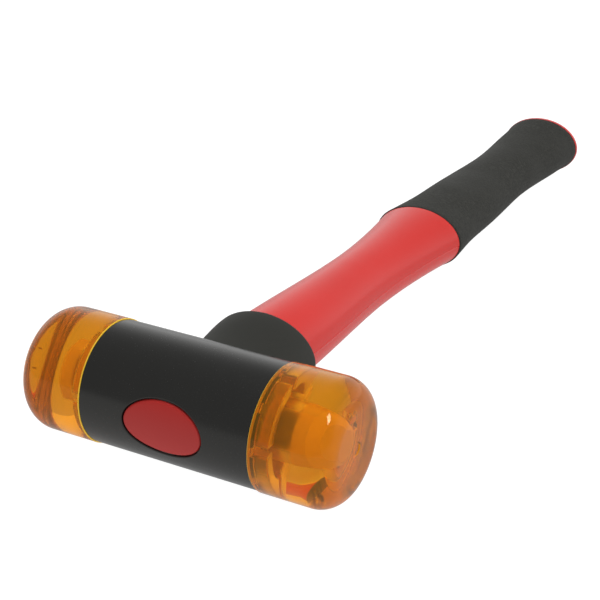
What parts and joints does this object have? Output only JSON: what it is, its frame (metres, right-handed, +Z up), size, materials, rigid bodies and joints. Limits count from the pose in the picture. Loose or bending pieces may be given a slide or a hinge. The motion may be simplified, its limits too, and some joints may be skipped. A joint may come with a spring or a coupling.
{
  "type": "dead blow mallet",
  "caption": "Dead blow mallet: steel shot canister across a fibreglass handle, two screw-on clear faces, rubber collar, soft grip.",
  "frame": {"origin": "middle of the outline's footprint, on the surface the head stands on", "axes": "+X along the head through the right striking face, +Y along the handle from head to butt, +Z up"},
  "size_m": [0.1248, 0.364, 0.0458],
  "materials": {
    "black_paint": "semi-gloss black paint on steel",
    "zinc_steel": "zinc-plated turned steel",
    "black_oxide": "oiled black oxide on steel",
    "spring_steel": "oiled black spring steel",
    "steel_shot": "oiled steel shot",
    "epoxy": "black epoxy",
    "seal_rubber": "black nitrile",
    "clear_amber": "clear amber moulded plastic, glossy",
    "fibreglass": "pultruded fibreglass",
    "red_plastic": "glossy red moulding",
    "collar_rubber": "matt black moulded rubber",
    "grip_rubber": "fine-grained matt black grip"
  },
  "bodies": {
    "head": {"head_tube": "black_paint", "eye_sleeve": "zinc_steel", "eye_adhesive": "epoxy", "right_end_plug": "zinc_steel", "right_plug_seal": "seal_rubber", "right_retaining_ring": "spring_steel", "right_face_stud": "black_oxide", "left_end_plug": "zinc_steel", "left_plug_seal": "seal_rubber", "left_retaining_ring": "spring_steel", "left_face_stud": "black_oxide", "handle_core": "fibreglass", "handle_jacket": "red_plastic", "neck_collar": "collar_rubber", "grip_sleeve": "grip_rubber", "butt_cap": "red_plastic"},
    "right_washer": {"right_face_washer": "zinc_steel"},
    "left_washer": {"left_face_washer": "zinc_steel"},
    "right_face": {"right_face": "clear_amber"},
    "left_face": {"left_face": "clear_amber"},
    "shot": {"shot_charge": "steel_shot"}
  },
  "joints": [
    {"name": "right_washer_slide", "type": "slide", "parent": "head", "child": "right_washer", "axis": [1, 0, 0], "range_m": [0, 0.0101]},
    {"name": "right_face_unscrew", "type": "hinge", "parent": "right_washer", "child": "right_face", "pos_m": [0.03365, -0.1591, 0.0229], "axis": [1, 0, 0], "range_deg": [0, 1800]},
    {"name": "left_washer_slide", "type": "slide", "parent": "head", "child": "left_washer", "axis": [-1, 0, 0], "range_m": [0, 0.0101]},
    {"name": "left_face_unscrew", "type": "hinge", "parent": "left_washer", "child": "left_face", "pos_m": [-0.03365, -0.1591, 0.0229], "axis": [-1, 0, 0], "range_deg": [0, 1800]},
    {"name": "shot_shift", "type": "slide", "parent": "head", "child": "shot", "axis": [1, 0, 0], "range_m": [-0.002, 0.002]}
  ],
  "couplings": [
    {"joint": "right_washer_slide", "follows": "right_face_unscrew", "m_per_rad": 0.00031831},
    {"joint": "left_washer_slide", "follows": "left_face_unscrew", "m_per_rad": 0.00031831}
  ]
}
